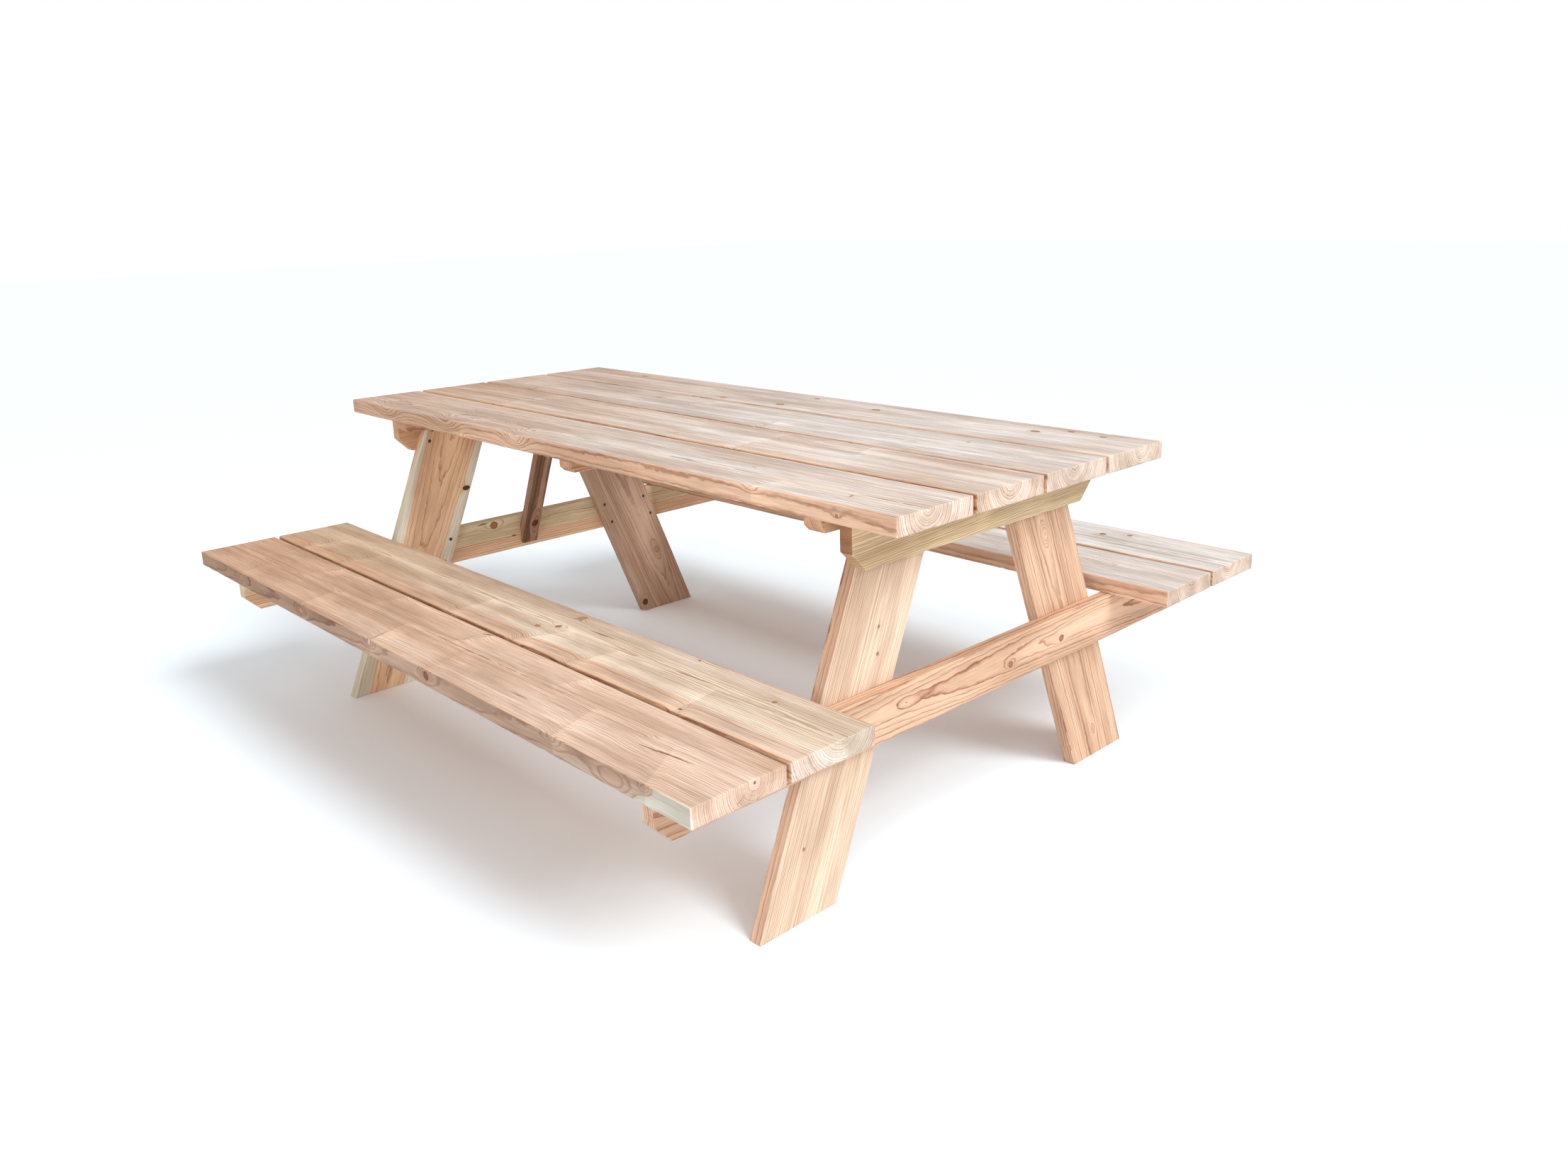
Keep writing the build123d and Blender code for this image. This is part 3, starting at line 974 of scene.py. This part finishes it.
GRAINS = {
    "tabletop_plank_1": Grain(
        (-24, 40), ring=5.6, tone="salmon", bleach=0.85, wave=2.6, slope=(0.004, -0.02), sharpness=1.3,
        # Painted shade darkens this plank's top a little
        far_shade=TABLE_FAR_SHADE, top_shading=(0.93, 0.92, 0.91),
        knots=[Knot((-160, -100, 8), 14, 0.0, 1.4), Knot((-485, -100, 16), 18, 0.0, 1.1),
               Knot((-803, -100, 6), 20, 0.0, 1.0), face_knot((-300, -20, 18), 6, 0.1),
               face_knot((530, 20, 18), 6, 0.1), Knot((-553, 18, 18), 6, 0.1, 1.6),
               Knot((864, -100, -2), 3, 0.7), Knot((648, -90, 17), 5, 0.0, 1.6, -0.2, 0.6),
               Knot((-423, -60, 17), 5, 0.0, 1.6, 0.3, 0.5)]),
    "tabletop_plank_2": Grain(
        (4, 22), ring=5.0, bleach=0.9, slope=(-0.006, 0.002), far_shade=TABLE_FAR_SHADE,
        knots=[Knot((576, 96, 18), 6, 0.0, 1.8, -0.35, 0.7), Knot((341, 99, 18), 5, 0.05, 1.6, -0.1, -0.6),
               Knot((354, -96, 18), 5, 0.05, 1.6, 0.1, -0.6), Knot((452, 96, 18), 5, 0.0, 1.5, 0.3, 0.4),
               Knot((-572, 92, 18), 7, 0.1, 1.5, 0.3, 0.6), Knot((-588, -90, 18), 6, 0.1, 1.5, 0.2, 0.5),
               face_knot((120, -60, 18), 6, 0.3), face_knot((-330, 70, 18), 6, 0.3)]),
    "tabletop_plank_3": Grain(
        (-14, 20), ring=5.0, tone="pink", bleach=1.1, slope=(0.003, 0.004), far_shade=TABLE_FAR_SHADE,
        knots=[Knot((221, -96, 18), 6, 0.05, 1.8, 0.4, 0.7), face_knot((-330, 33, 18), 7, 0.4),
               face_knot((700, 50, 18), 4, 0.4), Knot((-778, -27, 18), 6, 0.2),
               Knot((-150, 96, 18), 6, 0.05, 1.6, 0.3, 0.5)]),
    "tabletop_plank_4": Grain(
        (16, 24), ring=5.2, tone="pink", bleach=0.95, slope=(0.005, -0.005), far_shade=TABLE_FAR_SHADE,
        knots=[face_knot((19, -60, 18), 8, 0.7, 1.4, 1.0), face_knot((735, 28, 18), 7, 0.8, 1.4, 1.2),
               face_knot((800, 72, 18), 5, 0.8, 1.4, 1.0), face_knot((-189, -71, 18), 7, 0.7),
               face_knot((885, 60, 18), 5, 0.8, 1.4, 1.2), face_knot((33, 60, 18), 6, 0.8),
               face_knot((271, 26, 18), 7, 0.7, 1.4, 1.2), face_knot((-695, 54, 18), 7, 0.7)]),
    "front_bench_outer_plank": Grain(
        # Painted shade darkens the sides of this plank
        (10, 10), ring=3.6, tone="salmon", sapwood=121, wave=2.0, bleach=0.3, side_shade=(0.63, 0.64, 0.67),
        slope=(0.019, 0.003), end_tone_share=0.4, end_tone=(214, 200, 190), cracks=0.8, far_shade=BENCH_FAR_SHADE,
        knots=[Knot((210, -96, 5), 8, 0.9, 1.6, 0.3, 0.5), Knot((-29, -96, 13), 6, 0.1, 1.8, 0.35, 0.7),
               Knot((134, 96, 16), 7, 0.1, 1.6, 0.35, 0.7), Knot((-371, -96, 2), 8, 0.4, 1.8, 0.35, 0.7),
               Knot((640, 91, 10), 3, 0.9), Knot((-725, -96, 4), 8, 0.4, 1.6, 0.3, 0.5),
               Knot((890, -96, 13), 5, 0.0, 1.6, 0.6, 0.6), Knot((640, -96, 13), 6, 0.0, 1.6, 0.35, 0.7),
               Knot((-230, 96, 16), 6, 0.0, 1.6, 0.35, 0.6), Knot((480, 96, 16), 6, 0.0, 1.5, 0.35, 0.6),
               Knot((-560, 96, 14), 6, 0.1, 1.5, 0.4, 0.5), Knot((810, -96, -4), 15, 0.0, 0.6)],
        streaks=[Streak((832, -8, 18), 68, 2.6, 0.12), Streak((455, -40, 18), 34, 1.6),
                 Streak((129, 88, 18), 17, 2.6, 0.4)]),
    "front_bench_inner_plank": Grain(
        (20, 30), ring=4.4, tone="cream", outer="orange", boundary=72, wave=2.6, bleach=0.4,
        slope=(0.0, 0.010), end_tone=(214, 212, 206), far_shade=BENCH_FAR_SHADE,
        knots=[face_knot((156, -15, 18), 5, 0.7, 1.4, 0.8), face_knot((193, 12, 18), 6, 0.7),
               face_knot((188, 76, 18), 8, 0.4, 1.8), Knot((-66, -96, 17), 6, 0.0, 1.6, 0.05, 0.8),
               Knot((190, -96, 17), 7, 0.0, 1.8, -0.4, 0.9), Knot((386, -96, 17), 6, 0.05, 1.6, -0.15, 0.8),
               Knot((716, -96, 17), 5, 0.1, 1.6, 0.2, -0.8), Knot((-620, -96, 17), 6, 0.0, 1.6, -0.2, 0.6),
               face_knot((810, 47, 18), 4, 0.6, 1.6), Knot((-840, -96, 17), 7, 0.0, 1.6, -0.2, 0.8),
               face_knot((560, 86, 18), 3, 0.8)],
        streaks=[Streak((303, 44, 18), 45, 2, 0.05), Streak((612, 24, 18), 50, 2, 0.06),
                 Streak((713, -84, 18), 6, 4)]),
    "back_bench_inner_plank": Grain(
        (10, 30), ring=4.4, tone="salmon", bleach=1.2, top_shading=BACK_TOP_LIGHT,
        knots=[face_knot((500, 30, 18), 6, 0.6), face_knot((-200, -40, 18), 6, 0.4)]),
    "back_bench_outer_plank": Grain(
        (-20, 24), ring=4.4, tone="salmon", bleach=1.2, top_shading=BACK_TOP_LIGHT,
        knots=[face_knot((640, 20, 18), 7, 0.7), face_knot((700, 50, 18), 6, 0.7),
               face_knot((-350, 20, 18), 7, 0.4)]),
    "right_front_leg": Grain(
        (-150, -20), ring=3.8, tone="salmon", outer="peach", boundary=68, wave=1.4,
        knots=[face_knot((110, 28, 15), 3, 0.7), face_knot((160, 12, 15), 3, 0.7),
               face_knot((-80, 0, 15), 3, 0.5), face_knot((-260, -40, 15), 3, 0.5)]),
    "right_back_leg": Grain(
        (-12, -38), ring=4.2, tone="salmon", slope=(0.0, 0.01),
        knots=[Knot((300, 10, 15), 6, 0.45), Knot((230, -4, 15), 8, 0.0, 1.6),
               Knot((-330, 5, 15), 5, 0.3)]),
    # Its palette is lightened as painted light: the top shades this leg
    "left_front_leg": Grain(
        (-6, -52), ring=7.0, tone="honey", outer="sapwood", boundary=92, slope=(0.0, 0.035), sharpness=2.4,
        knots=[Knot((190, 76, 15), 6, 1.0)]),
    # Its palette is darkened as painted shade under the table
    "left_back_leg": Grain(
        (30, -60), ring=5.0, tone="tan", slope=(0.0, 0.02), sharpness=1.8,
        knots=[Knot((-205, 40, 15), 9, 0.4, 1.8), face_knot((-338, -76, 15), 9, 1.0)]),
    # Its sawn ends are reddish end grain, darkened further as painted shade
    "right_top_rail": Grain(
        (150, -20), ring=4.4, tone="yellow", slope=(0.06, 0.0), end_tone_share=0.9, end_tone=(150, 98, 74),
        knots=[Knot((-150, 40, 15), 4)]),
    "left_top_rail": Grain((-90, -30), ring=4.4, contrast=0.8, slope=(0.03, 0.0), end_tone_share=0.1),
    "right_seat_rail": Grain(
        (6, -34), ring=6.0, tone="salmon", wave=3.2, slope=(0.0, 0.02), sharpness=1.6, contrast=1.25,
        end_tone_share=0.2,
        knots=[Knot((98, -10, 15), 6, 0.8), Knot((280, -2, 15), 7, 0.8), Knot((-230, 10, 15), 6, 0.0)]),
    # Its palettes are lightened as painted light: the top shades this rail
    "left_seat_rail": Grain(
        (40, 40), ring=6.0, tone="straw", outer="honey", boundary=54, wave=3.0, sharpness=1.5,
        end_tone_share=0.2,
        knots=[face_knot((-109, 34, 15), 10, 0.7)],
        streaks=[Streak((-146, 44, 15), 18, 3), Streak((-45, -10, 15), 9, 3)]),
    "left_top_batten": Grain((0, -40), ring=4.4, end_tone_share=0.1),
    "middle_top_batten": Grain((20, -30), ring=4.4, end_tone_share=0.1),
    "right_top_batten": Grain((-20, -40), ring=4.4, end_tone_share=0.1),
    # Its outer tone is painted shade on the underside, which faces down and away from the light
    "left_brace": Grain((-30, 6), ring=5.0, tone="brown", outer="umber", boundary=38,
                        knots=[Knot((-160, 17, 4), 10, 1.0)]),
}

# The world axes of length, width and thickness for each kind of board
AXES = {
    "plank": (X, Y, Z),
    "leg": (Z, Y, X),
    "rail": (Y, Z, X),
    "batten": (Y, Z, X),
    "brace": (Z, X, Y),
}
SHAPES = {"plank": Board, "leg": SlantedBoard, "rail": CutBoard, "batten": CutBoard, "brace": SlantedBoard}


def make_board(node):
    kind = next(kind for kind in AXES if kind in node)
    return SHAPES[kind](node, AXES[kind])


def build_boards(screws):
    """Replaces each plain board of the frame with an eased and drilled one in wood of its own."""
    groups = {"knot": knot_group(), "streak": streak_group(), "softwood": Softwood().n.tree}
    for number, (node, grain) in enumerate(GRAINS.items()):
        board = make_board(node)
        rng = random.Random(100 + number)
        noise_seed = 7.3 * number + 3.1
        points, quads = board_points(board, rng)
        edge_dents(board, points, rng)
        obj = new_mesh_object(f"{node}_wood", points, quads)
        drill(obj, board, screws)
        obj.data.materials.append(wood_material(board, grain, noise_seed, groups))
        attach(obj, "root")
        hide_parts(node)


# ---------------------------------------------------------------- floor, light and camera

FLOOR_HALF_SIZE = 30
# The floor and the surround look white to the camera and shed a softer light on the table
FLOOR_SEEN = (1.04, 1.08, 1.10, 1)
FLOOR_BOUNCE = (0.85, 0.85, 0.85, 1)
SURROUND_SEEN = (1, 1, 1, 1)
SURROUND_LIGHT = (0.59, 0.59, 0.595, 1)

SUN_PLACE = (4.0, 0.3, 3.4)
SUN_STRENGTH = 1.82
SUN_COLOUR = (0.90, 0.985, 1.03)
SUN_ANGLE = math.radians(24)

# Place and power of each soft box, and the spot near the table's right-hand end that they both face
SOFT_BOXES = {"near_end": ((2.4, -1.0, 3.4), 45), "front": ((2.4, -4.0, 1.5), 56)}
SOFT_BOX_SIZE = 1.8
SOFT_BOX_COLOUR = (0.80, 0.90, 1.0)
SOFT_BOX_TARGET = (0.6, 0, 0.5)

CAMERA_PLACE = (2.249, -1.841, 1.274)
CAMERA_AZIMUTH = math.radians(46.71)
CAMERA_DIP = math.radians(13.94)
CAMERA_ROLL = math.radians(-1.53)
SENSOR_WIDTH = 36
FOCAL_LENGTH = 27.79
VERTICAL_SHIFT = -0.0528


def seen_or_shed(n, seen, shed):
    """One colour for the camera and another for the light that is passed on."""
    camera_ray = n.add("ShaderNodeLightPath").outputs["Is Camera Ray"]
    return n.mix(camera_ray, shed, seen)


def make_floor():
    """A plain pale floor."""
    edge = FLOOR_HALF_SIZE
    corners = [(-edge, -edge, 0), (edge, -edge, 0), (edge, edge, 0), (-edge, edge, 0)]
    floor = new_mesh_object("floor", corners, [(0, 1, 2, 3)])
    material, n = empty_material("floor")
    shader = n.add("ShaderNodeBsdfDiffuse", {"Color": seen_or_shed(n, FLOOR_SEEN, FLOOR_BOUNCE)})
    n.feed(n.add("ShaderNodeOutputMaterial").inputs["Surface"], shader.outputs[0])
    floor.data.materials.append(material)


def make_surround():
    """A white surround that lights the table evenly from all sides."""
    world = bpy.data.worlds.new("surround")
    bpy.context.scene.world = world
    world.use_nodes = True
    world.node_tree.nodes.clear()
    n = Nodes(world.node_tree)
    background = n.add("ShaderNodeBackground", {"Color": seen_or_shed(n, SURROUND_SEEN, SURROUND_LIGHT)})
    n.feed(n.add("ShaderNodeOutputWorld").inputs["Surface"], background.outputs[0])


def make_lights():
    """A soft sun from beyond the right-hand end, and two soft boxes on the camera's side of the table."""
    sun = bpy.data.lights.new("key", "SUN")
    sun.energy = SUN_STRENGTH
    sun.color = SUN_COLOUR
    sun.angle = SUN_ANGLE
    hang(sun, SUN_PLACE, (0, 0, 0))
    for name, (place, power) in SOFT_BOXES.items():
        soft_box = bpy.data.lights.new(name, "AREA")
        soft_box.size = SOFT_BOX_SIZE
        soft_box.energy = power
        soft_box.color = SOFT_BOX_COLOUR
        hang(soft_box, place, SOFT_BOX_TARGET)


def hang(data, place, target):
    """Puts a light at a place and turns it towards a target."""
    light = bpy.data.objects.new(data.name, data)
    light.location = place
    light.rotation_euler = (Vector(place) - Vector(target)).to_track_quat("Z", "Y").to_euler()
    bpy.context.scene.collection.objects.link(light)


def make_camera():
    """Looks at the table's front and right-hand end from standing height."""
    level_part = math.cos(CAMERA_DIP)
    forward = Vector((
        -math.sin(CAMERA_AZIMUTH) * level_part, math.cos(CAMERA_AZIMUTH) * level_part, -math.sin(CAMERA_DIP)
    ))
    level = forward.cross(Vector((0, 0, 1))).normalized()
    upright = level.cross(forward)
    right = math.cos(CAMERA_ROLL) * level + math.sin(CAMERA_ROLL) * upright
    up = -math.sin(CAMERA_ROLL) * level + math.cos(CAMERA_ROLL) * upright
    turn = Matrix((right, up, -forward)).transposed().to_4x4()

    data = bpy.data.cameras.new("camera")
    data.sensor_width = SENSOR_WIDTH
    data.lens = FOCAL_LENGTH
    data.shift_y = VERTICAL_SHIFT
    camera = bpy.data.objects.new("camera", data)
    camera.matrix_world = Matrix.Translation(CAMERA_PLACE) @ turn
    bpy.context.scene.collection.objects.link(camera)
    bpy.context.scene.camera = camera


build_boards(build_screws())
make_floor()
make_surround()
make_lights()
make_camera()
bpy.context.scene.view_settings.view_transform = "Standard"
